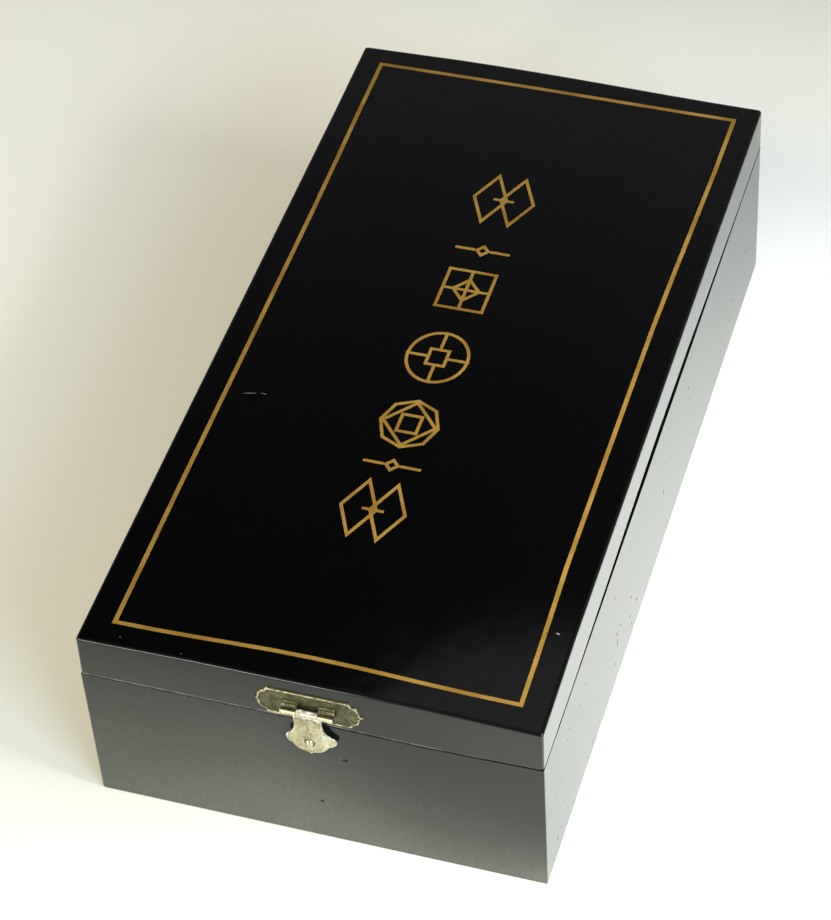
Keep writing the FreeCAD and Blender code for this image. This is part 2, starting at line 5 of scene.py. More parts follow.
import bmesh
import bpy
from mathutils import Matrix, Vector


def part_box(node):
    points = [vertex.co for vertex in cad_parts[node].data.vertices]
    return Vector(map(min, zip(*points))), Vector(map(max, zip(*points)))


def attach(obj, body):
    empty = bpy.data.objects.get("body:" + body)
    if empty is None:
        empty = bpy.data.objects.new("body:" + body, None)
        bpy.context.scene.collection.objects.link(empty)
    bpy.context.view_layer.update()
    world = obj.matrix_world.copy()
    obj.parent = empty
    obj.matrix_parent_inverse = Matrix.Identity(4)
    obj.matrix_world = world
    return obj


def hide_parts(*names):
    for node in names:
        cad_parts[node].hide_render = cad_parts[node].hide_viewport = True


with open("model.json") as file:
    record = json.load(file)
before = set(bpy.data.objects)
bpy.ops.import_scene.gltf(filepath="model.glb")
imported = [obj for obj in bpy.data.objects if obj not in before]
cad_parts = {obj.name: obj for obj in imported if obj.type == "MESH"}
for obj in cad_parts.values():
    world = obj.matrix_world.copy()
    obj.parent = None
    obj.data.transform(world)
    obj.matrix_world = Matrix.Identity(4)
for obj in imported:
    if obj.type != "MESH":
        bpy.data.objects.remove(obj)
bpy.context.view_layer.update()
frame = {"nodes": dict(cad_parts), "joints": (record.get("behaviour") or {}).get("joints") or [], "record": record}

# A black lacquered presentation case with a gold border and ornament on its lid, a stamped brass
# catch in front, two brass hinges behind, and an ink stick in a padded satin bed.
# Lengths are in metres, in the case's own frame: +X right, +Y back, +Z up.

MM = 0.001
X, Y, Z = Vector((1, 0, 0)), Vector((0, 1, 0)), Vector((0, 0, 1))


# ------------------------------------------------------------
# Places, taken from the frame
# ------------------------------------------------------------

def around(*nodes):
    """The lowest and highest corner of some nodes together."""
    boxes = [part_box(node) for node in nodes]
    low = Vector([min(box[0][i] for box in boxes) for i in range(3)])
    high = Vector([max(box[1][i] for box in boxes) for i in range(3)])
    return low, high


WALLS = ["base_%s_wall" % side for side in ("front", "back", "left", "right")]
RAILS = ["lid_%s_rail" % side for side in ("front", "back", "left", "right")]
BASE_LOW, BASE_HIGH = around(*WALLS)
LID_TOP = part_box("lid_top_panel")[1][2]
SEAM, GAP = 50.05 * MM, 0.11 * MM
CATCH_AXIS = Vector(next(joint for joint in frame["joints"] if joint["name"] == "flap_hinge")["pos_m"])
PLATE_LOW, PLATE_HIGH = around("catch_plate")
FLAP_LOW, FLAP_HIGH = around("catch_flap")
PIN_LOW, PIN_HIGH = around("catch_pin")
STUD_LOW, STUD_HIGH = around("catch_stud")
SHEET = 0.6 * MM
PLATE_FRONT = BASE_LOW.y - SHEET
STUD_PLACE = Vector(((STUD_LOW.x + STUD_HIGH.x) / 2, BASE_LOW.y, (STUD_LOW.z + STUD_HIGH.z) / 2))


# ------------------------------------------------------------
# Camera, floor and light
# ------------------------------------------------------------

def set_camera():
    data = bpy.data.cameras.new("camera")
    data.sensor_width = 36.0
    data.lens = 121.3
    data.clip_start = 0.05
    data.clip_end = 20.0
    camera = bpy.data.objects.new("camera", data)
    bpy.context.scene.collection.objects.link(camera)
    camera.location = (0.21026, -0.60372, 0.69219)
    camera.rotation_euler = [math.radians(turn) for turn in (43.538, 2.911, 17.079)]
    bpy.context.scene.camera = camera
    bpy.context.scene.view_settings.view_transform = "Standard"


def set_floor():
    bpy.ops.mesh.primitive_plane_add(size=8.0, location=(0, 0, 0))
    floor = bpy.context.object
    floor.name = "floor"
    material, tree, shader = new_material("pale_table")
    shader.inputs["Base Color"].default_value = (0.86, 0.865, 0.85, 1)
    shader.inputs["Roughness"].default_value = 0.75
    shader.inputs["Specular IOR Level"].default_value = 0.1
    floor.data.materials.append(material)


def add_softbox(name, place, aim, size, power, colour=(1, 1, 1), spread=180):
    data = bpy.data.lights.new(name, "AREA")
    data.shape = "RECTANGLE"
    data.size, data.size_y = size
    data.energy = power
    data.color = colour
    data.spread = math.radians(spread)
    light = bpy.data.objects.new(name, data)
    bpy.context.scene.collection.objects.link(light)
    light.location = place
    light.rotation_euler = (Vector(aim) - Vector(place)).to_track_quat("-Z", "Y").to_euler()


def towards(azimuth, height):
    """A direction by its angle round from +X and its angle above the table."""
    round_by, up_by = math.radians(azimuth), math.radians(height)
    return Vector((math.cos(up_by) * math.cos(round_by), math.cos(up_by) * math.sin(round_by), math.sin(up_by)))


def set_room(strength, colour):
    """An evenly lit room with a dark part of the ceiling behind the table, and a small pale gap in that."""
    world = bpy.data.worlds.new("room")
    world.use_nodes = True
    tree = world.node_tree
    view = add(tree, "TexCoord").outputs["Generated"]

    def cone(middle, inner, outer, at_middle, outside):
        closeness = add(tree, "VectorMath", ((0, view), (1, middle)), operation="DOT_PRODUCT").outputs["Value"]
        edges = [math.cos(math.radians(reach)) for reach in (outer, inner)]
        return spread(tree, closeness, *edges, outside, at_middle)

    dark = cone(towards(114, 57), 7, 23, 0.05, 1.0)
    gap = cone(towards(107.3, 53.9), 3.5, 4.8, 1.3, 0.0)
    dim_left = cone(towards(165, 18), 10, 52, 0.3, 1.0)
    level = most_of(tree, product(tree, dark, dim_left), gap)
    background = tree.nodes["Background"]
    background.inputs["Color"].default_value = colour + (1,)
    tree.links.new(product(tree, level, strength), background.inputs["Strength"])
    bpy.context.scene.world = world


def set_light():
    set_room(0.33, (1.0, 1.0, 1.0))
    add_softbox("window_right", (0.80, -0.80, 0.75), (0, 0, 0), (0.5, 0.5), 9.0, (0.56, 0.79, 1.0))
    add_softbox("low_lamp_right", (0.30, -0.06, 0.26), (0.09, -0.04, 0), (0.3, 0.12), 0.67, (1, 1, 0.9), 80)
    add_softbox("lamp_left", (-0.95, -0.75, 0.9), (0, -0.1, 0), (0.6, 0.6), 15.0, (1.0, 0.88, 0.53))
    add_softbox("low_gleam", (-0.74, -2.3, 0.55), (0, 0, 0), (0.38, 0.25), 15.0, (1, 0.97, 0.95))


# ------------------------------------------------------------
# Materials
# ------------------------------------------------------------

def new_material(name):
    material = bpy.data.materials.new(name)
    material.use_nodes = True
    return material, material.node_tree, material.node_tree.nodes["Principled BSDF"]


def add(tree, kind, wires=(), **settings):
    """Adds a shader node. A wire is a socket of it, and the value or the other node's socket that goes in."""
    item = tree.nodes.new("ShaderNode" + kind)
    for name, value in settings.items():
        setattr(item, name, value)
    for socket, value in wires:
        if isinstance(value, bpy.types.NodeSocket):
            tree.links.new(value, item.inputs[socket])
        else:
            item.inputs[socket].default_value = value
    return item


def wire(tree, shader, **values):
    """Leads worked-out values into the shader: colour, roughness or metallic."""
    sockets = {"colour": "Base Color", "roughness": "Roughness", "metallic": "Metallic"}
    for name, value in values.items():
        tree.links.new(value, shader.inputs[sockets[name]])


def place_in(tree):
    return add(tree, "TexCoord").outputs["Object"]


def ways_of(tree, place):
    """A place's parts: across the case, along it, and its height."""
    return add(tree, "SeparateXYZ", (("Vector", place),)).outputs[:3]


def maths(tree, operation, first, second=0.0):
    return add(tree, "Math", ((0, first), (1, second)), operation=operation).outputs[0]


def product(tree, *values):
    return reduce(lambda total, value: maths(tree, "MULTIPLY", total, value), values)


def most_of(tree, *values):
    return reduce(lambda total, value: maths(tree, "MAXIMUM", total, value), values)


def spread(tree, value, low, high, to_low=0.0, to_high=1.0, way="SMOOTHSTEP"):
    """Stretches low..high softly onto to_low..to_high, and holds it at both ends."""
    return add(tree, "MapRange", (("Value", value), ("From Min", low), ("From Max", high), ("To Min", to_low),
                                  ("To Max", to_high)), interpolation_type=way).outputs["Result"]


def spread_flat(tree, value, low, high, to_low=0.0, to_high=1.0):
    """As spread, in a straight line."""
    return spread(tree, value, low, high, to_low, to_high, "LINEAR")


def blend_colours(tree, share, first, second):
    return add(tree, "Mix", ((0, share), (6, first), (7, second)), data_type="RGBA").outputs[2]


def stretched(tree, place, scale, turn=(0, 0, 0)):
    return add(tree, "Mapping", (("Vector", place), ("Scale", scale), ("Rotation", turn))).outputs["Vector"]


def noise(tree, place, scale, detail=2.0):
    return add(tree, "TexNoise", (("Vector", place), ("Scale", scale), ("Detail", detail))).outputs["Fac"]


def specks(tree, place, scale, size, share):
    """Scattered dots: 1 in a dot. Size and scale are in cells, and share is how many cells have one."""
    cells = add(tree, "TexVoronoi", (("Vector", place), ("Scale", scale)))
    dot = spread(tree, cells.outputs["Distance"], size * 0.6, size, 1.0, 0.0)
    chosen = add(tree, "SeparateColor", (("Color", cells.outputs["Color"]),)).outputs[0]
    return product(tree, dot, maths(tree, "GREATER_THAN", chosen, 1.0 - share))


def mark(tree, place, middle, half, turn=0):
    """One small oval mark on a face: 1 on it, 0 beside it. Sizes are in millimetres."""
    local = add(tree, "Mapping", (("Vector", place), ("Location", Vector(middle) * MM), ("Scale", Vector(half) * MM),
                                  ("Rotation", (0, 0, math.radians(turn)))), vector_type="TEXTURE").outputs["Vector"]
    away = add(tree, "VectorMath", ((0, local),), operation="LENGTH").outputs["Value"]
    return spread(tree, away, 0.55, 1.0, 1.0, 0.0)


def worn_edge(tree, width):
    """1 along sharp edges, 0 on open faces."""
    rounded = add(tree, "Bevel", (("Radius", width),), samples=6).outputs["Normal"]
    true = add(tree, "NewGeometry").outputs["Normal"]
    same = add(tree, "VectorMath", ((0, rounded), (1, true)), operation="DOT_PRODUCT").outputs["Value"]
    return spread(tree, same, 0.86, 0.99, 1.0, 0.0)


def bump_by(tree, shader, height, strength, distance):
    bump = add(tree, "Bump", (("Strength", strength), ("Distance", distance), ("Height", height)))
    tree.links.new(bump.outputs["Normal"], shader.inputs["Normal"])


def front_paling(tree, place, across, along, height):
    """How much the black is paled: most at the foot of the front, reaching higher up on the left than on the right,
    and little elsewhere.
    """
    fall = spread(tree, across, -20 * MM, 75 * MM, 1.15, 5.4)
    low_down = maths(tree, "POWER", spread_flat(tree, height, 0.0, 66 * MM, 1.0, 0.0), fall)
    front = spread(tree, along, BASE_LOW.y + 0.4 * MM, BASE_LOW.y + 3 * MM, 1.0, 0.16)
    sideways = spread_flat(tree, across, -62 * MM, -10 * MM, 0.62, 0.75)
    blotches = spread_flat(tree, noise(tree, place, 28.0, 3.0), 0.3, 0.7, 0.9, 1.1)
    mottle = spread_flat(tree, noise(tree, stretched(tree, place, (1, 1, 0.45)), 900.0, 3.0), 0.25, 0.75, 0.88, 1.12)
    return product(tree, low_down, front, sideways, blotches, mottle)


def pits(tree, place, across, height):
    """1 where the lacquer has sunk: into the wood's pores on both sides, and in three spots on the front."""
    sides = spread(tree, maths(tree, "ABSOLUTE", across), 64.4 * MM, 64.9 * MM)
    lower = spread_flat(tree, height, 8 * MM, 62 * MM, 1.0, 0.25)
    patches = spread(tree, noise(tree, place, 30.0, 3.0), 0.35, 0.62, 0.25, 1.0)
    faint = spread(tree, noise(tree, place, 85.0, 2.0), 0.42, 0.64, 0.3, 0.8)
    short = specks(tree, stretched(tree, place, (1.0, 1.0, 0.38)), 300.0, 0.12, 0.75)
    long = specks(tree, stretched(tree, place, (1.0, 1.0, 0.22)), 190.0, 0.1, 0.65)
    pores = product(tree, most_of(tree, short, long), sides, lower, patches, faint)
    front_face = -127.8
    spots = [mark(tree, place, (x, front_face, z), (wide, 2, tall))
             for x, z, wide, tall in ((9.6, 36.4, 1.1, 0.75), (1.5, 16.0, 0.9, 0.65), (-23.0, 51.2, 0.5, 0.35))]
    return most_of(tree, pores, *spots)


def scratches(tree, place):
    """Two hair scratches, a chip and two grains of dust on the lid."""
    top_face = 65.9
    return most_of(tree, *[mark(tree, place, (x, y, top_face), (wide, deep, 2), turn) for x, y, wide, deep, turn in (
        (-49.0, -30.0, 2.4, 0.10, 14), (-45.0, -29.2, 1.1, 0.09, -6), (60.0, -94.7, 0.75, 0.22, -17),
        (-52.5, -125.1, 0.16, 0.14, 0), (-34.7, -126.5, 0.15, 0.12, 0))])


def painted_lip_highlight(tree, place, across, along, height):
    """A painted highlight: the light broken line along the lid's lower front edge, just above where it meets the
    base.
    """
    sag = product(tree, spread(tree, across, -7 * MM, 32 * MM), spread(tree, across, 73 * MM, 33 * MM), 0.8 * MM)
    above_lip = maths(tree, "ADD", maths(tree, "SUBTRACT", height, SEAM + GAP), sag)
    on_lid = spread(tree, above_lip, -0.08 * MM, -0.02 * MM)
    near_lip = spread(tree, above_lip, 0.55 * MM, 0.8 * MM, 1.0, 0.0)
    in_front = spread(tree, along, -127 * MM, -127.5 * MM)
    to_left = spread(tree, across, 20 * MM, 58 * MM, 1.0, 0.0)
    broken = spread(tree, noise(tree, place, 210.0, 3.0), 0.40, 0.62, 0.2, 1.0)
    return product(tree, in_front, to_left, on_lid, near_lip, broken)


def lacquer():
    """Polished black lacquer: paler low on the front, sunken pores on the sides, fine scratches, and a painted
    highlight along the lid's lower front edge.
    """
    material, tree, shader = new_material("black_lacquer")
    shader.inputs["IOR"].default_value = 1.4
    place = place_in(tree)
    across, along, height = ways_of(tree, place)
    sunk = pits(tree, place, across, height)
    dust = specks(tree, place, 62.0, 0.011, 0.4)
    # The lip mark is a painted highlight on the lid's lower front edge; pale joins it to the real dust specks and
    # scratches.
    lip = painted_lip_highlight(tree, place, across, along, height)
    pale = most_of(tree, product(tree, dust, 0.2), scratches(tree, place), product(tree, lip, 0.42))

    # Paler towards the foot of the front, more so on the left: colour only.
    paling_share = product(tree, front_paling(tree, place, across, along, height), 0.135)
    paled_black = blend_colours(tree, paling_share, (0.0011, 0.0011, 0.0013, 1), (0.95, 1.0, 0.86, 1))
    pitted = blend_colours(tree, sunk, paled_black, (0.004, 0.0035, 0.003, 1))
    polish = spread_flat(tree, noise(tree, place, 45.0, 3.0), 0.3, 0.7, 0.03, 0.075)
    wire(tree, shader, colour=blend_colours(tree, product(tree, pale, 0.3), pitted, (0.9, 0.9, 0.85, 1)),
         roughness=maths(tree, "ADD", polish, product(tree, sunk, 0.85)))
    swell = maths(tree, "SUBTRACT", noise(tree, place, 55.0, 2.0), product(tree, sunk, 0.5))
    bump_by(tree, shader, swell, 0.03, 0.001)
    return material


def gold():
    """Gold paint laid on lacquer: uneven in depth, with small gaps where it has rubbed off."""
    material, tree, shader = new_material("gold_line")
    place = place_in(tree)
    depth = spread(tree, noise(tree, place, 90.0, 4.0), 0.3, 0.7)
    paint = blend_colours(tree, depth, (0.235, 0.118, 0.014, 1), (0.35, 0.205, 0.040, 1))
    rubbed = product(tree, spread(tree, noise(tree, place, 1500.0, 3.0), 0.56, 0.70),
                     spread(tree, noise(tree, place, 34.0, 2.0), 0.5, 0.68, 0.12, 0.9))
    wire(tree, shader, colour=blend_colours(tree, rubbed, paint, (0.06, 0.03, 0.008, 1)),
         roughness=spread_flat(tree, depth, 0.0, 1.0, 0.52, 0.36))
    shader.inputs["Metallic"].default_value = 0.25
    bump_by(tree, shader, noise(tree, place, 2200.0, 2.0), 0.25, 0.0001)
    return material


def aged_brass(name, metal, patina, dirt, worn_and_highlight_colour, rim, rim_share, edge_share, knuckle_share):
    """Stamped brass with a patina and brown dirt in spots. Its edges, raised rim and knuckle fronts are pale and
    less metallic: wear where it is handled, with a painted highlight laid on them too.
    """
    material, tree, shader = new_material(name)
    place = place_in(tree)
    across, along, height = ways_of(tree, place)
    pin_x, pin_y, pin_z = CATCH_AXIS

    cloud = spread(tree, noise(tree, place, 330.0, 4.0), 0.35, 0.65)
    grain = spread(tree, noise(tree, place, 2600.0, 3.0), 0.42, 0.66)
    tarnish = product(tree, maths(tree, "ADD", product(tree, cloud, 0.6), product(tree, grain, 0.5)), 0.95)
    spots = product(tree, spread(tree, noise(tree, place, 1100.0, 3.0), 0.52, 0.64),
                    spread(tree, noise(tree, place, 260.0, 2.0), 0.42, 0.58))
    at_neck = product(tree, spread(tree, height, pin_z - 6.5 * MM, pin_z - 2.5 * MM),
                      spread(tree, noise(tree, place, 600.0, 4.0), 0.40, 0.62))
    soiled = most_of(tree, product(tree, spots, 0.7), product(tree, at_neck, 0.6))
    surface = blend_colours(tree, soiled, blend_colours(tree, tarnish, metal, patina), dirt)

    # The pale, less metallic places: knuckle fronts, edges and the raised rim. They are partly wear and partly a
    # painted highlight.
    on_knuckles = product(tree, spread(tree, along, pin_y - 0.9 * MM, pin_y - 0.6 * MM, 1, 0),
                          spread(tree, height, pin_z - 1.3 * MM, pin_z - 0.9 * MM))
    low, high = rim
    on_rim = product(tree, spread(tree, along, low - 0.05 * MM, low), spread(tree, along, high + 0.04 * MM, high))
    on_lobe = product(tree, spread(tree, across, pin_x + 2.9 * MM, pin_x + 3.7 * MM, 0.0, 0.7),
                      spread(tree, height, pin_z - 3.0 * MM, pin_z - 4.0 * MM))
    bare = product(tree, spread(tree, noise(tree, place, 520.0, 4.0), 0.40, 0.60, 0.25, 1.0),
                   maths(tree, "SUBTRACT", 1.0, on_lobe))
    handled_and_highlit = most_of(tree, product(tree, on_knuckles, knuckle_share),
                      product(tree, worn_edge(tree, 0.3 * MM), edge_share), product(tree, on_rim, bare, rim_share))
    # rubbed holds the wear and the painted highlight together, broken up by noise.
    rubbed = product(tree, handled_and_highlit, spread(tree, noise(tree, place, 1500.0, 2.0), 0.36, 0.50, 0.4, 1.0))

    dull = maths(tree, "ADD", product(tree, tarnish, 0.16), product(tree, spots, 0.2))
    wire(tree, shader, colour=blend_colours(tree, rubbed, surface, worn_and_highlight_colour),
         metallic=spread_flat(tree, rubbed, 0.0, 1.0, 0.9, 0.25),
         roughness=maths(tree, "SUBTRACT", maths(tree, "ADD", dull, 0.27), product(tree, rubbed, 0.1)))
    bump_by(tree, shader, maths(tree, "SUBTRACT", noise(tree, place, 1500.0, 4.0), spots), 0.5, 0.00014)
    return material


def satin(name, light, dark, figure):
    """Silk satin: crossing threads, with a small woven figure that shines where the ground is dull."""
    material, tree, shader = new_material(name)
    place = place_in(tree)
    sway = add(tree, "TexNoise", (("Vector", place), ("Scale", 60.0))).outputs["Color"]
    sway = add(tree, "VectorMath", ((0, sway), (3, 0.0012)), operation="SCALE").outputs["Vector"]
    wavy = add(tree, "VectorMath", ((0, place), (1, sway)), operation="ADD").outputs["Vector"]
    warp, weft = [add(tree, "TexWave", (("Vector", wavy), ("Scale", scale), ("Distortion", 0.6)),
                      bands_direction=way).outputs["Fac"] for scale, way in ((950.0, "X"), (700.0, "Y"))]
    threads = product(tree, warp, maths(tree, "ADD", weft, 0.5))
    lozenge = stretched(tree, place, (figure, figure, figure), (0, 0, math.radians(45)))
    woven = add(tree, "TexVoronoi", (("Vector", lozenge), ("Scale", 1.0), ("Randomness", 0.0)),
                distance="CHEBYCHEV").outputs["Distance"]
    line = product(tree, spread(tree, woven, 0.30, 0.34), spread(tree, woven, 0.42, 0.46, 1.0, 0.0))
    shown = most_of(tree, line, spread(tree, woven, 0.10, 0.15, 1.0, 0.0))
    ground = blend_colours(tree, spread(tree, noise(tree, place, 22.0, 3.0), 0.3, 0.7), dark, light)
    shine = tuple(min(1.0, part * 1.5) for part in light[:3]) + (1,)
    lifted = blend_colours(tree, product(tree, shown, 0.55), ground, shine)
    wire(tree, shader, colour=blend_colours(tree, product(tree, threads, 0.25), lifted, dark),
         roughness=spread_flat(tree, shown, 0.0, 1.0, 0.52, 0.3))
    shader.inputs["Sheen Weight"].default_value = 0.35
    bump_by(tree, shader, maths(tree, "ADD", threads, shown), 0.35, 0.00012)
    return material


def wood():
    """Bare softwood board, grain along the case."""
    material, tree, shader = new_material("bare_wood")
    grain_place = stretched(tree, place_in(tree), (1.0, 0.06, 1.0))
    rings = add(tree, "TexWave", (("Vector", grain_place), ("Scale", 55.0), ("Distortion", 5.0), ("Detail", 3.0)),
                bands_direction="X").outputs["Fac"]
    fibre = noise(tree, grain_place, 1500.0, 3.0)
    board = blend_colours(tree, rings, (0.46, 0.29, 0.15, 1), (0.60, 0.42, 0.24, 1))
    wire(tree, shader, colour=blend_colours(tree, product(tree, fibre, 0.35), board, (0.25, 0.14, 0.07, 1)))
    shader.inputs["Roughness"].default_value = 0.65
    bump_by(tree, shader, maths(tree, "ADD", rings, fibre), 0.2, 0.0002)
    return material


def ink():
    """Pressed soot ink: nearly black, a faint bluish bloom, fine grain and mould marks."""
    material, tree, shader = new_material("pressed_ink")
    place = place_in(tree)
    bloom = spread(tree, noise(tree, place, 40.0, 4.0), 0.42, 0.7)
    grain = noise(tree, place, 1800.0, 3.0)
    body = blend_colours(tree, product(tree, bloom, 0.5), (0.010, 0.010, 0.011, 1), (0.030, 0.032, 0.038, 1))
    edges = product(tree, worn_edge(tree, 0.5 * MM), 0.4)
    wire(tree, shader, colour=blend_colours(tree, edges, body, (0.05, 0.048, 0.045, 1)),
         roughness=spread_flat(tree, noise(tree, place, 300.0, 3.0), 0.3, 0.7, 0.34, 0.55))
    bump_by(tree, shader, maths(tree, "ADD", grain, bloom), 0.25, 0.0002)
    return material


def finish_node(node, material):
    slots = frame["nodes"][node].data.materials
    slots.clear()
    slots.append(material)


# ------------------------------------------------------------
# Workbench: starting, shaping and finishing a piece
# ------------------------------------------------------------

def clear_bench():
    if bpy.context.object and bpy.context.object.mode != "OBJECT":
        bpy.ops.object.mode_set(mode="OBJECT")
    bpy.ops.object.select_all(action="DESELECT")


def take(piece):
    clear_bench()
    piece.select_set(True)
    bpy.context.view_layer.objects.active = piece


def settle(piece):
    """Puts the piece's place into its mesh and leaves its object at the origin."""
    take(piece)
    bpy.ops.object.transform_apply(location=True, rotation=True, scale=True)


def begin(name):
    """Names the piece that was just added, and settles it."""
    piece = bpy.context.object
    piece.name = name
    settle(piece)
    return piece


def start_block(name, low, high, turn=(0, 0, 0)):
    low, high = Vector(low), Vector(high)
    clear_bench()
    bpy.ops.mesh.primitive_cube_add(size=1, location=(low + high) / 2, scale=high - low, rotation=turn)
    return begin(name)


def start_disc(name, place, radius, corners, turn=(0, 0, 0)):
    clear_bench()
    bpy.ops.mesh.primitive_circle_add(vertices=corners, radius=radius, fill_type="NGON", location=place,
                                      rotation=turn)
    return begin(name)


def start_tube(name, place, radius, length, turn, sides=32):
    clear_bench()
    bpy.ops.mesh.primitive_cylinder_add(vertices=sides, radius=radius, depth=length, location=place, rotation=turn)
    return begin(name)


def pick(piece, faces=None, edges=None, points=None):
    """Opens the piece for shaping, with only the faces, edges or points that pass the test selected."""
    take(piece)
    bpy.ops.object.mode_set(mode="EDIT")
    bpy.ops.mesh.select_mode(type="FACE" if faces else "EDGE" if edges else "VERT")
    bpy.ops.mesh.select_all(action="DESELECT")
    mesh = bmesh.from_edit_mesh(piece.data)
    if faces:
        for face in mesh.faces:
            face.select_set(bool(faces(face)))
    elif edges:
        for edge in mesh.edges:
            edge.select_set(bool(edges(edge)))
    else:
        for point in mesh.verts:
            point.select_set(bool(points(point.co)))
    bmesh.update_edit_mesh(piece.data)


def everything(item):
    return True


def looks(direction, share=0.99):
    return lambda face: face.normal.dot(direction) > share


def at(value, place, slack=0.02 * MM):
    return abs(value - place) < slack


def both(edge, test):
    return all(test(vertex.co) for vertex in edge.verts)


def level(edge):
    first, last = edge.verts
    return at(first.co.z, last.co.z)


def not_level(edge):
    return not level(edge)


def extrude(step):
    bpy.ops.mesh.extrude_region_move(TRANSFORM_OT_translate={"value": tuple(step)})


def scale_about(centre, factors):
    bpy.ops.transform.resize(value=tuple(factors), center_override=tuple(centre))


def step_in(middle, half, outward, steps):
    """Takes the picked face inwards and out or back in steps: (inwards, outwards). Half is its size from the
    middle, and 0 along the way that it looks."""
    gone = 0.0
    for inwards, rise in steps:
        extrude(outward * rise)
        scale_about(middle, [1.0 if size == 0 else (size - gone - inwards) / (size - gone) for size in half])
        gone += inwards


def face_outwards(piece):
    pick(piece, faces=everything)
    bpy.ops.mesh.normals_make_consistent(inside=False)
    clear_bench()


def round_edges(piece, test, width, steps=3):
    pick(piece, edges=test)
    bpy.ops.mesh.bevel(offset=width, segments=steps, profile=0.5, affect="EDGES")
    clear_bench()


def finish_by(piece, kind, **settings):
    """Adds one modifier and applies it."""
    modifier = piece.modifiers.new(kind.lower(), kind)
    for name, value in settings.items():
        setattr(modifier, name, value)
    take(piece)
    bpy.ops.object.modifier_apply(modifier=modifier.name)


def cut_away(piece, cutter):
    finish_by(piece, "BOOLEAN", operation="DIFFERENCE", object=cutter, solver="EXACT")
    bpy.data.objects.remove(cutter)


def smooth(piece, angle=35):
    take(piece)
    bpy.ops.object.shade_smooth_by_angle(angle=math.radians(angle))
    finish_by(piece, "WEIGHTED_NORMAL", keep_sharp=True, weight=80)


def soften(piece, width, angle=40, steps=2):
    """Takes the sharpness off every edge."""
    finish_by(piece, "BEVEL", width=width, segments=steps, limit_method="ANGLE", angle_limit=math.radians(angle))
    smooth(piece, angle)


def join(name, pieces):
    clear_bench()
    for piece in pieces:
        piece.select_set(True)
    bpy.context.view_layer.objects.active = pieces[0]
    bpy.ops.object.join()
    pieces[0].name = name
    return pieces[0]


def fuse(pieces):
    """Unites pieces that cross each other into one."""
    whole = pieces[0]
    for piece in pieces[1:]:
        finish_by(whole, "BOOLEAN", operation="UNION", object=piece, solver="EXACT")
        bpy.data.objects.remove(piece)
    return whole


def hand_over(piece, body, slot, *nodes):
    """Gives a finished piece its material and its body, and hides the CAD nodes that it stands for."""
    piece.data.materials.clear()
    piece.data.materials.append(FINISHES[slot])
    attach(piece, body)
    if nodes:
        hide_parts(*nodes)


# ------------------------------------------------------------
# The lacquered case
# ------------------------------------------------------------

def drift(piece, place, reach, by, spread_out):
    """Moves the points near a place, and their neighbours on the same level less and less out to a distance.
    All sizes are in millimetres."""
    place, reach, by = Vector(place) * MM, Vector(reach) * MM, Vector(by) * MM
    pick(piece, points=lambda point: abs(point.z - place.z) > 1.5 * MM)
    bpy.ops.mesh.hide()
    pick(piece, points=lambda point: abs(point.x - place.x) <= reach.x and abs(point.y - place.y) <= reach.y)
    bpy.ops.transform.translate(value=by, use_proportional_edit=True, proportional_edit_falloff="SMOOTH",
                                proportional_size=spread_out * MM)
    bpy.ops.mesh.reveal(select=False)
    clear_bench()


def make_shell(name, low, high, mouth, wall, depth, far_round, mouth_round, drifts, flat_ways):
    """A box with one open side, its mouth: up by 1, down by -1. Its edges are rounded as lacquered wood's are.
    Drifts are in millimetres. The faces that look the flat ways keep a flat margin inside their rounded edges."""
    piece = start_block(name, low, high)
    pick(piece, edges=level)
    bpy.ops.mesh.subdivide(number_cuts=7)
    clear_bench()
    for one in drifts:
        drift(piece, *one)

    def sharp(edge):
        return edge.calc_face_angle(0) > 1

    def upright(edge):
        way = edge.verts[0].co - edge.verts[1].co
        return sharp(edge) and abs(way.z) > 0.8 * way.length

    def round_about(edge, height):
        return sharp(edge) and both(edge, lambda point: at(point.z, height, 1.5 * MM))

    mouth_z, far_z = (high.z, low.z) if mouth > 0 else (low.z, high.z)
    round_edges(piece, lambda edge: upright(edge) and edge.verts[0].co.y < 0, far_round + 0.1 * MM, 4)
    round_edges(piece, lambda edge: upright(edge) and edge.verts[0].co.y > 0, 1.2 * MM, 5)
    round_edges(piece, lambda edge: round_about(edge, far_z), far_round, 5)
    round_edges(piece, lambda edge: round_about(edge, mouth_z), mouth_round, 3)
    for outward in flat_ways:
        half = Vector([0.0 if abs(way) > 0.5 else length / 2 for way, length in zip(outward, high - low)])
        pick(piece, faces=looks(outward, 0.9999))
        step_in((low + high) / 2, half, outward, ((0.5 * MM, 0.0),))
        clear_bench()

    lip, past = 0.3 * MM, 2 * MM
    floor_z, lip_z = mouth_z - mouth * depth, mouth_z - mouth * lip
    room_low = Vector((BASE_LOW.x + wall, BASE_LOW.y + wall, min(floor_z, lip_z)))
    room_high = Vector((BASE_HIGH.x - wall, BASE_HIGH.y - wall, max(floor_z, lip_z)))
    room = start_block("room_cutter", room_low, room_high)
    middle = Vector(((room_low.x + room_high.x) / 2, (room_low.y + room_high.y) / 2, mouth_z))
    size = room_high - room_low
    pick(room, faces=looks(Z * mouth))
    extrude(Z * mouth * lip)
    scale_about(middle, ((size.x + 2 * lip) / size.x, (size.y + 2 * lip) / size.y, 1))
    extrude(Z * mouth * past)
    clear_bench()
    cut_away(piece, room)
    smooth(piece)
    return piece


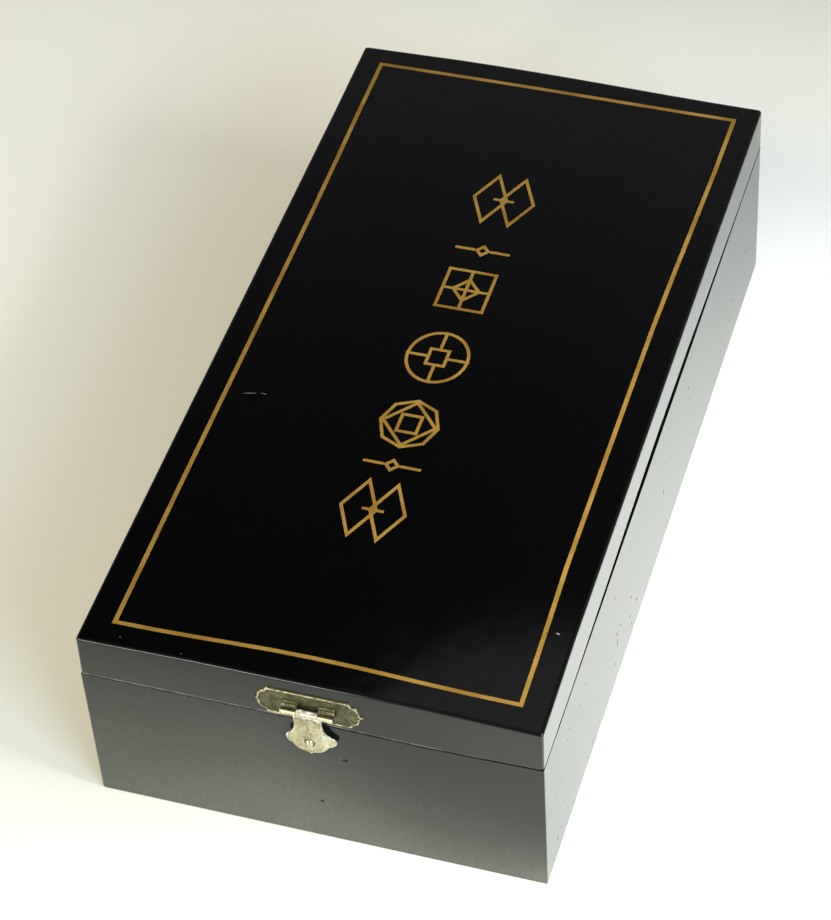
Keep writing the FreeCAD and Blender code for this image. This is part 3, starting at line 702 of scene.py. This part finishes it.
def make_case():
    """The base stands a little proud of the lid. The wood of both has moved, as it does: their lips sag together
    right of the catch, and the lid's corners are drawn in and stand a little off square."""
    wall, proud = 8 * MM, 0.2 * MM
    near, sag = (3, 3), (0, 0, -0.8)
    low = Vector((BASE_LOW.x, BASE_LOW.y - proud, BASE_LOW.z))
    high = Vector((BASE_HIGH.x, BASE_HIGH.y, SEAM))
    base = make_shell("base_lacquer_shell", low, high, 1, wall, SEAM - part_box("base_bottom_board")[1][2],
                      0.35 * MM, 0.08 * MM, [((32.5, low.y / MM, SEAM / MM), near, sag, 40)], (X, -X, Y, -Y, -Z))
    lid_half, lid_back = 64.9 * MM, 128.1 * MM
    low = Vector((-lid_half, low.y + proud / 2, SEAM + GAP))
    high = Vector((lid_half, lid_back, LID_TOP))
    left, front, under = low / MM
    right, back, top = high / MM
    drifts = [((32.5, front, under), near, sag, 40), ((right, 0, under), near, (-0.4, 0, 0), 118),
              ((left, 0, top), (3, 200), (0.65, 0, 0), 2), ((left, front, top), near, (0.1, -0.8, 0), 34),
              ((right, front, top), near, (0.45, -0.95, 0), 36), ((right, back, top), near, (0.3, -1.8, 0), 85),
              ((left, back, top), near, (-0.2, -0.8, 0), 34), ((0, front, top), (40, 3), (0, -0.2, 0), 30)]
    lid = make_shell("lid_lacquer_shell", low, high, -1, wall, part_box("lid_top_panel")[0][2] - low.z,
                     0.8 * MM, 0.25 * MM, drifts, (Z,))
    hand_over(base, "base", "black_lacquer", "base_bottom_board", *WALLS)
    hand_over(lid, "lid", "black_lacquer", "lid_top_panel", *RAILS)


def make_border():
    """The gold line round the lid top, painted by hand: its sides bow in a little between the corners."""
    wide, thick = 1.25, 0.08
    across, along, high = 56.0, 119.4, LID_TOP / MM
    half = ((across + wide / 2) * MM, (along + wide / 2) * MM)
    line = square_stroke(Vector((0, 0, LID_TOP)), half, wide * MM, thick * MM)
    line.name = "gold_border_painted"
    pick(line, edges=everything)
    bpy.ops.mesh.subdivide(number_cuts=9)
    clear_bench()
    for x, y, by, spread_out in ((-across, -along, (0.2, -1.1, 0), 50), (across, -along, (1.1, -1.0, 0), 54),
                                 (across, along, (1.9, -0.2, 0), 105), (-across, along, (-0.7, 0.4, 0), 80),
                                 (0, -along, (0, 0.35, 0), 40), (0, along, (0, 0.35, 0), 60)):
        drift(line, (x, y, high), (3, 3), by, spread_out)
    smooth(line, 30)
    hand_over(line, "lid", "gold_line", "gold_border_line")


# ------------------------------------------------------------
# The gold ornament: lozenges, beads, a lattice, a coin and an octagon, one under the other
# ------------------------------------------------------------

def ring_stroke(place, reach, corners, width, thick, turn=0):
    """A flat ring: a lozenge, square, octagon or round, by its corners. Reach is the radius each way."""
    ring = start_disc("stroke", place, 1.0, corners, (0, 0, math.radians(turn)))
    take(ring)
    bpy.ops.transform.resize(value=(reach[0], reach[1], 1), center_override=place)
    settle(ring)
    pick(ring, faces=everything)
    bpy.ops.mesh.inset(thickness=width, use_even_offset=True)
    bpy.ops.mesh.delete(type="FACE")
    bpy.ops.mesh.select_all(action="SELECT")
    extrude(Z * thick)
    clear_bench()
    face_outwards(ring)
    return ring


def square_stroke(place, half, width, thick):
    return ring_stroke(place, (half[0] * math.sqrt(2), half[1] * math.sqrt(2)), 4, width, thick, 45)


def bar_stroke(place, half, width, thick, turn=0):
    """A straight stroke, centred on its place, with eased ends."""
    half_size = Vector((half, width / 2, thick / 2))
    middle = Vector(place) + Z * thick / 2
    bar = start_block("stroke", middle - half_size, middle + half_size, (0, 0, math.radians(turn)))
    round_edges(bar, not_level, width * 0.3, 2)
    return bar


def make_ornament():
    """One column of plain traditional figures, in strokes of gold paint."""
    wide, thick = 0.95 * MM, 0.08 * MM
    column_x = -1.0

    def spot(x, y):
        return Vector(((column_x + x) * MM, y * MM, LID_TOP))

    def ring(x, y, half_x, half_y, corners):
        return ring_stroke(spot(x, y), (half_x * MM, half_y * MM), corners, wide, thick)

    def square(x, y, half_x, half_y):
        return square_stroke(spot(x, y), (half_x * MM, half_y * MM), wide, thick)

    def bar(x, y, half, turn=0):
        return bar_stroke(spot(x, y), half * MM, wide, thick, turn)

    def lozenge_pair(y):
        return [ring(-4.2, y, 5.6, 11.6, 4), ring(4.2, y, 5.6, 11.6, 4), bar(0, y, 3.2)]

    def bar_and_bead(y):
        return [bar(-5.4, y, 3.1), bar(5.4, y, 3.1), ring(0, y, 2.4, 2.6, 4)]

    figures = [
        lozenge_pair(66.5),
        bar_and_bead(43.5),
        [square(0, 26.0, 7.6, 8.6), bar(0, 26.0, 7.4), bar(0, 26.0, 8.4, 90), ring(0, 26.0, 4.6, 5.2, 4)],
        [ring(0, -3.0, 9.4, 10.6, 40), square(0, -3.0, 3.2, 3.6), bar(0, 4.0, 3.4, 90), bar(0, -10.0, 3.4, 90),
         bar(-6.3, -3.0, 3.2), bar(6.3, -3.0, 3.2)],
        [ring(0, -30.5, 9.0, 9.8, 8), square(0, -30.5, 3.4, 3.8), ring(0, -30.5, 8.4, 9.2, 4)],
        bar_and_bead(-47.0),
        lozenge_pair(-64.5),
    ]
    ornament = join("gold_ornament_column", [fuse(strokes) for strokes in figures])
    smooth(ornament, 30)
    hand_over(ornament, "lid", "gold_line")


# ------------------------------------------------------------
# The catch
# ------------------------------------------------------------

def arc_points(start, via, end, steps):
    """Points along the arc from start through via, without the end."""
    (ax, ay), (bx, by), (cx, cy) = start, via, end
    across = 2 * (ax * (by - cy) + bx * (cy - ay) + cx * (ay - by))
    if abs(across) < 1e-12:
        return [(ax + (cx - ax) * step / steps, ay + (cy - ay) * step / steps) for step in range(steps)]
    a, b, c = ax**2 + ay**2, bx**2 + by**2, cx**2 + cy**2
    centre_x = (a * (by - cy) + b * (cy - ay) + c * (ay - by)) / across
    centre_y = (a * (cx - bx) + b * (ax - cx) + c * (bx - ax)) / across
    radius = math.hypot(ax - centre_x, ay - centre_y)
    first, middle, last = [math.atan2(y - centre_y, x - centre_x) for x, y in (start, via, end)]
    middle, last = (middle - first) % math.tau, (last - first) % math.tau
    sweep = last if middle < last else last - math.tau
    turns = [first + sweep * step / steps for step in range(steps)]
    return [(centre_x + radius * math.cos(turn), centre_y + radius * math.sin(turn)) for turn in turns]


def trace(half, arc_steps=6):
    """Closes a half outline with its mirror image. An arc from one point to the next goes by way of the point
    marked "via"."""
    whole = half + [(-step[0],) + step[1:] for step in reversed(half) if abs(step[0]) > 1e-9]
    points = []
    count = 0
    while count < len(whole):
        step, follow = whole[count], whole[(count + 1) % len(whole)]
        if len(follow) > 2:
            points += arc_points(step[:2], follow[:2], whole[(count + 2) % len(whole)][:2], arc_steps)
            count += 2
        else:
            points.append(step[:2])
            count += 1
    return points


def cut_sheet(name, points, front, thick):
    """A flat sheet cut to an outline in the X-Z plane about the catch's axis, its face to the front."""
    piece = start_disc(name, (0, 0, 0), 1 * MM, len(points), (math.radians(90), 0, 0))
    for vertex, point in zip(piece.data.vertices, points):
        vertex.co = Vector((CATCH_AXIS.x + point[0], front, CATCH_AXIS.z + point[1]))
    pick(piece, faces=everything)
    bpy.ops.mesh.normals_make_consistent(inside=False)
    mesh = bmesh.from_edit_mesh(piece.data)
    mesh.faces.ensure_lookup_table()
    if mesh.faces[0].normal.y > 0:
        bpy.ops.mesh.flip_normals()
    extrude(Y * thick)
    clear_bench()
    face_outwards(piece)
    return piece


def bend_strip(name, profile, low_x, high_x, thick):
    """A strip of sheet brass bent along a profile of (forward, up) steps about the catch's axis."""
    def spot(step, x=low_x):
        return Vector((x, CATCH_AXIS.y - step[0], CATCH_AXIS.z + step[1]))

    clear_bench()
    bpy.ops.mesh.primitive_plane_add(size=1 * MM)
    piece = begin(name)
    corners = [spot(step, x) for step in profile[:2] for x in (low_x, high_x)]
    for vertex, corner in zip(piece.data.vertices, corners):
        vertex.co = corner
    for last, step in zip(profile[1:], profile[2:]):
        here = spot(last)
        pick(piece, edges=lambda edge: both(edge, lambda point: (point.yz - here.yz).length < 1e-6))
        extrude(spot(step) - here)
    clear_bench()
    finish_by(piece, "SOLIDIFY", thickness=thick, offset=0.0)
    face_outwards(piece)
    return piece


def on_round(radius, turn):
    """How far out and how far up a point of a circle lies, by its angle."""
    return radius * math.cos(math.radians(turn)), radius * math.sin(math.radians(turn))


def roll(radius, first, last, steps=14):
    """Profile steps round the catch pin, by angles from straight forward."""
    return [on_round(radius, first + (last - first) * step / steps) for step in range(steps + 1)]


STRIP, ROLL_RADIUS = 0.3 * MM, 0.9 * MM
MIDDLE_KNUCKLE = 6.1 / 2 * MM
KNUCKLE_REACH = (PIN_HIGH.x - PIN_LOW.x) / 2
FLAP_KNUCKLE = MIDDLE_KNUCKLE - 0.15 * MM


def plate_outline():
    """Straight above and below, with a stepped flank and a point at each end."""
    half_x = (PLATE_HIGH.x - PLATE_LOW.x) / 2
    half_z = (PLATE_HIGH.z - PLATE_LOW.z) / 2
    middle = (PLATE_HIGH.z + PLATE_LOW.z) / 2 - CATCH_AXIS.z
    flank = [(0.91, 1.00), (0.67, 0.96, "via"), (0.58, 0.74), (0.28, 0.59, "via"), (0.17, 0.25), (0.12, 0.10, "via")]
    lower, upper = [[(half_x - half_z * step[0], middle + side * half_z * step[1]) + step[2:] for step in flank]
                    for side in (-1, 1)]
    return trace(lower + [(half_x, middle)] + upper[::-1])


def end_ribs(middle):
    """Embossed rays at both ends of the plate."""
    ribs = []
    half = Vector((0.95, 0.07, 0.13)) * MM
    for side in (-1, 1):
        for turn in (-56, -28, 0, 28, 56):
            lean = math.radians(turn)
            away = Vector((side * math.cos(lean), 0, math.sin(lean)))
            place = middle + Vector((side * 10.2, 0.09, 0)) * MM + away * 2.3 * MM
            ribs.append(start_block("rib", place - half, place + half, (0, -side * lean, 0)))
    return ribs


def make_catch_plate():
    """The plate has a raised rim, a slot above its middle knuckle and two straps rolled round the pin."""
    middle = Vector(((PLATE_LOW.x + PLATE_HIGH.x) / 2, PLATE_FRONT, (PLATE_LOW.z + PLATE_HIGH.z) / 2))
    half = Vector(((PLATE_HIGH.x - PLATE_LOW.x) / 2, 0, (PLATE_HIGH.z - PLATE_LOW.z) / 2))
    edge_thick, rim_rise, rim_wide = 0.18 * MM, 0.1 * MM, 0.34 * MM
    plate = cut_sheet("catch_plate_relief", plate_outline(), BASE_LOW.y - edge_thick, edge_thick)
    pick(plate, faces=looks(-Y))
    step_in(middle, half, -Y, ((rim_wide, SHEET - edge_thick + rim_rise), (rim_wide, 0.0), (0.16 * MM, -0.14 * MM)))
    clear_bench()
    slot = start_block("slot_cutter", CATCH_AXIS + Vector((-1.3, -3.0, 1.10)) * MM,
                       CATCH_AXIS + Vector((2.8, 3.0, 1.55)) * MM)
    round_edges(slot, lambda edge: level(edge) and at(edge.verts[0].co.x, edge.verts[1].co.x), 0.2 * MM, 3)
    cut_away(plate, slot)
    strap = [(-1.1 * MM, 2.5 * MM), (-0.98 * MM, 1.9 * MM), (-0.75 * MM, 1.35 * MM)] + roll(ROLL_RADIUS, 105, -215)
    pieces = [plate] + end_ribs(middle)
    for low, high in ((-KNUCKLE_REACH, -MIDDLE_KNUCKLE), (MIDDLE_KNUCKLE, KNUCKLE_REACH)):
        pieces.append(bend_strip("knuckle", strap, CATCH_AXIS.x + low, CATCH_AXIS.x + high, STRIP))
    plate = join("catch_plate_relief", pieces)
    soften(plate, 0.05 * MM)
    hand_over(plate, "lid", "plate_brass", "catch_plate")


def flap_outline():
    """A waist under the knuckle, a lobe on each side and a point below. The lobes lean a little to the right."""
    length = CATCH_AXIS.z - FLAP_LOW.z
    wide = (FLAP_HIGH.x - FLAP_LOW.x) / 2
    neck = 7.9 / 2 * MM
    half = [(FLAP_KNUCKLE, -1.0 * MM), (FLAP_KNUCKLE, -1.35 * MM), (neck, -1.35 * MM), (neck, -0.30 * length),
            (neck * 1.13, -0.43 * length, "via"), (wide * 0.80, -0.535 * length), (wide, -0.65 * length, "via"),
            (wide * 0.72, -0.77 * length), (wide * 0.57, -0.865 * length, "via"), (wide * 0.25, -0.935 * length),
            (wide * 0.10, -0.955 * length, "via"), (0, -length)]
    lean = 0.42 * MM
    return [(x + lean * min(1.0, max(0.0, (abs(x) - neck) / (wide - neck))), z) for x, z in trace(half, 8)]


def bend_lobe(flap, root, columns, fall):
    """Bends one lobe of the flap back a little, column by column outwards from its root."""
    for column in columns:
        pick(flap, faces=everything)
        bpy.ops.mesh.bisect(plane_co=(root + column, 0, 0), plane_no=(1, 0, 0))
    for column in columns:
        pick(flap, points=lambda place: place.x > root + column + 0.01 * MM and place.z < CATCH_AXIS.z - 4 * MM)
        bpy.ops.transform.translate(value=Y * fall)
    clear_bench()


def make_catch_flap():
    """The flap's edge is rolled back, its eye clears the stud, and its strap curls round the pin."""
    front = CATCH_AXIS.y - SHEET
    middle = Vector((CATCH_AXIS.x, front, (CATCH_AXIS.z + FLAP_LOW.z) / 2))
    half = Vector(((FLAP_HIGH.x - FLAP_LOW.x) / 2, 0, (CATCH_AXIS.z - FLAP_LOW.z) / 2))
    rolled, eye_radius = 0.32 * MM, 1.6 * MM
    flap = cut_sheet("catch_flap_sheet", flap_outline(), front + rolled, SHEET - rolled)
    pick(flap, faces=looks(-Y))
    step_in(middle, half, -Y, ((0.2 * MM, 0.2 * MM), (0.3 * MM, rolled - 0.2 * MM)))
    clear_bench()
    eye = start_tube("eye_cutter", (STUD_PLACE.x, front, STUD_PLACE.z), eye_radius, 6 * MM, (math.radians(90), 0, 0))
    cut_away(flap, eye)
    bend_lobe(flap, CATCH_AXIS.x + 3.4 * MM, (0.0, 0.9 * MM, 1.8 * MM, 2.7 * MM), 0.17 * MM)
    wrap = [(0.3 * MM, -1.2 * MM), (0.45 * MM, -0.95 * MM)] + roll(ROLL_RADIUS, -45, 250)
    curl = bend_strip("flap_knuckle", wrap, CATCH_AXIS.x - FLAP_KNUCKLE, CATCH_AXIS.x + FLAP_KNUCKLE, STRIP)
    flap = join("catch_flap_sheet", [flap, curl])
    soften(flap, 0.15 * MM, 40, 3)
    hand_over(flap, "catch_flap", "flap_brass", "catch_flap")


def turned(name, place, direction, steps, sides=32):
    """A turned piece: rings of (distance along the axis, radius), closed by its last ring."""
    place, direction = Vector(place), Vector(direction)
    turn = direction.to_track_quat("Z", "Y").to_euler()
    piece = start_disc(name, place + direction * steps[0][0], steps[0][1], sides, turn)
    pick(piece, faces=everything)
    for (last_reach, last_radius), (reach, radius) in zip(steps, steps[1:]):
        extrude(direction * (reach - last_reach))
        ratio = radius / last_radius
        if abs(ratio - 1) > 1e-6:
            scale_about(place + direction * reach, (ratio, ratio, ratio))
    clear_bench()
    face_outwards(piece)
    smooth(piece, 40)
    return piece


def make_catch_stud():
    """A stem, a thin collar on the lacquer, and a ball that the flap's eye goes over."""
    radius, reach = 1.2 * MM, 2.25 * MM
    ball = [(reach + up, out) for out, up in (on_round(radius, turn) for turn in range(-58, 86, 9))]
    neck = [(-3, 0.6), (-0.01, 0.6), (0, 1.5), (0.2, 1.5), (0.3, 1.35), (0.32, 0.75), (0.6, 0.62)]
    steps = [(along * MM, out * MM) for along, out in neck] + ball
    hand_over(turned("catch_stud_turned", STUD_PLACE, -Y, steps), "base", "flap_brass", "catch_stud")


# ------------------------------------------------------------
# Hinges, liners and other hard pieces that keep the frame's own shape
# ------------------------------------------------------------

def copy_of_node(name, node):
    """A piece of its own with the shape of a CAD node."""
    source = frame["nodes"][node]
    piece = bpy.data.objects.new(name, source.data.copy())
    bpy.context.scene.collection.objects.link(piece)
    pick(piece, faces=everything)
    bpy.ops.mesh.remove_doubles(threshold=1e-6)
    clear_bench()
    return piece


def ease_node(node, body, slot, width):
    """A piece with a node's shape and softened edges."""
    piece = copy_of_node(node + "_eased", node)
    pick(piece, faces=everything)
    bpy.ops.mesh.dissolve_limited(angle_limit=math.radians(0.5))
    clear_bench()
    soften(piece, width)
    hand_over(piece, body, slot, node)


def make_nails(node, body):
    """Domed brass nails, two in each hinge leaf."""
    low, high = around(node)
    radius, rise = (high.z - low.z) / 2, 0.5 * MM
    height = (low.z + high.z) / 2
    face = high.y - rise
    shank = [(low.y - face, 0.15 * MM), (low.y + 0.7 * MM - face, 0.5 * MM), (-0.05 * MM, 0.5 * MM)]
    dome = [(rise * up, radius * out) for out, up in (on_round(1, turn) for turn in range(0, 90, 14))]
    nails = []
    for hinge in ("left", "right"):
        leaf_low, leaf_high = around("hinge_%s_%s_leaf" % (hinge, body))
        centre = (leaf_low.x + leaf_high.x) / 2
        from_centre = high.x - radius - abs(centre)
        for side in (-1, 1):
            nails.append(turned("nail", (centre + side * from_centre, face, height), Y,
                                shank + [(-0.04 * MM, radius)] + dome, 20))
    hand_over(join(node + "_domed", nails), body, "plate_brass", node)


# ------------------------------------------------------------
# The padded bed, the lid pad and the ink stick
# ------------------------------------------------------------

def puff(piece, voxel, cap, shrink, pressure, pinned, frames=20):
    """Shrinks the form a little, then lets cloth under pressure fill it out again, each point by the cap at most."""
    pick(piece, faces=everything)
    bpy.ops.transform.shrink_fatten(value=-shrink)
    clear_bench()
    finish_by(piece, "REMESH", mode="VOXEL", voxel_size=voxel)
    before = [vertex.co.copy() for vertex in piece.data.vertices]
    group = piece.vertex_groups.new(name="held")
    group.add([vertex.index for vertex in piece.data.vertices if pinned(vertex.co)], 1.0, "REPLACE")
    cloth = piece.modifiers.new("cloth", "CLOTH")
    cloth.settings.use_pressure = True
    cloth.settings.uniform_pressure_force = pressure
    cloth.settings.vertex_group_mass = "held"
    cloth.settings.effector_weights.gravity = 0
    cloth.settings.shrink_min = -0.05
    cloth.settings.quality = 6
    cloth.point_cache.frame_start = 1
    cloth.point_cache.frame_end = frames
    scene = bpy.context.scene
    for count in range(1, frames + 1):
        scene.frame_set(count)
    take(piece)
    bpy.ops.object.modifier_apply(modifier=cloth.name)
    scene.frame_set(1)
    for vertex, place in zip(piece.data.vertices, before):
        move = vertex.co - place
        if move.length > cap:
            vertex.co = place + move * (cap / move.length)
    finish_by(piece, "SUBSURF", levels=1, render_levels=1)
    take(piece)
    bpy.ops.object.shade_smooth()


def make_padded(node, body, voxel, shrink, pinned):
    """A padded satin piece with the form of its node. It is held where it lies on its board."""
    piece = copy_of_node(node + "_padded", node)
    puff(piece, voxel, 1.2 * MM, shrink, 4.0, pinned)
    hand_over(piece, body, "bed_satin", node)


def make_bed():
    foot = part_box("satin_bed")[0][2]
    make_padded("satin_bed", "base", 3 * MM, 1.0 * MM, lambda point: point.z < foot + 3 * MM)


def make_pad():
    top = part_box("lid_pad")[1][2]
    make_padded("lid_pad", "lid", 2.5 * MM, 0.8 * MM, lambda point: point.z > top - 1.5 * MM)


def make_ink_stick():
    """A moulded stick: a raised border, a sunk channel and a raised panel, above and below."""
    low, high = around("ink_stick")
    middle = (low + high) / 2
    half = Vector(((high.x - low.x) / 2, (high.y - low.y) / 2, 0))
    stick = start_block("ink_stick_moulded", low, high)
    round_edges(stick, not_level, 4.0 * MM, 6)
    round_edges(stick, level, 1.6 * MM, 4)
    for outward in (Z, -Z):
        pick(stick, faces=looks(outward))
        step_in(middle, half, outward, ((2.2 * MM, 0), (0.6 * MM, -0.8 * MM), (2.6 * MM, 0), (0.5 * MM, 0.6 * MM)))
        clear_bench()
    soften(stick, 0.2 * MM, 30)
    hand_over(stick, "base", "pressed_ink", "ink_stick")


def gild_ink_stick():
    """Plain gilt figures on the raised panel: two octagons, a ring between them, and two lozenges."""
    low, high = around("ink_stick")
    middle = (low + high) / 2
    wide, thick = 0.9 * MM, 0.35 * MM

    def gilt(y, half_x, half_y, corners):
        place = Vector((middle.x, middle.y + y * MM, high.z - 0.25 * MM))
        return ring_stroke(place, (half_x * MM, half_y * MM), corners, wide, thick)

    strokes = []
    for y, corners in ((-52, 8), (0, 40), (52, 8)):
        strokes += [gilt(y, 11, 11, corners), gilt(y, 7, 7, 4)]
    strokes += [gilt(y, 4, 9, 4) for y in (-26, 26)]
    gilding = join("ink_stick_gilding", strokes)
    soften(gilding, 0.06 * MM)
    hand_over(gilding, "base", "gold_line")


# ------------------------------------------------------------
# Putting it together
# ------------------------------------------------------------

set_camera()
set_floor()
set_light()

FINISHES = {
    "black_lacquer": lacquer(),
    "gold_line": gold(),
    # Each brass: metal, patina, dirt, then the pale colour of its edges, rim and knuckle fronts, which is wear with
    # a painted highlight, then where its rim lies and how much of each place is paled.
    "plate_brass": aged_brass("plate_brass", (0.135, 0.13, 0.065, 1), (0.05, 0.06, 0.028, 1),
                              (0.045, 0.03, 0.015, 1), (0.80, 0.72, 0.46, 1),
                              (PLATE_FRONT - 0.17 * MM, PLATE_FRONT - 0.07 * MM), 0.8, 0.3, 0.8),
    "flap_brass": aged_brass("flap_brass", (0.58, 0.55, 0.37, 1), (0.33, 0.29, 0.165, 1), (0.15, 0.095, 0.05, 1),
                             (1.0, 0.985, 0.92, 1),
                             (CATCH_AXIS.y - SHEET + 0.05 * MM, CATCH_AXIS.y + 0.25 * MM), 1.0, 0.8, 0.3),
    "lining_satin": satin("lining_satin", (0.60, 0.40, 0.12, 1), (0.42, 0.26, 0.06, 1), 110.0),
    "bed_satin": satin("bed_satin", (0.64, 0.43, 0.13, 1), (0.46, 0.29, 0.07, 1), 70.0),
    "bare_wood": wood(),
    "pressed_ink": ink(),
}
for subpart in frame["record"]["subparts"]:
    finish_node(subpart["node"], FINISHES[subpart["material_slot"]])

make_case()
make_border()
make_ornament()
make_catch_plate()
make_catch_flap()
make_catch_stud()
for hinge in ("left", "right"):
    ease_node("hinge_%s_base_leaf" % hinge, "base", "plate_brass", 0.12 * MM)
    ease_node("hinge_%s_lid_leaf" % hinge, "lid", "plate_brass", 0.12 * MM)
make_nails("hinge_nails_base", "base")
make_nails("hinge_nails_lid", "lid")
for side in ("front", "back", "left", "right"):
    ease_node("liner_" + side, "base", "lining_satin", 0.5 * MM)
make_ink_stick()
gild_ink_stick()
make_bed()
make_pad()
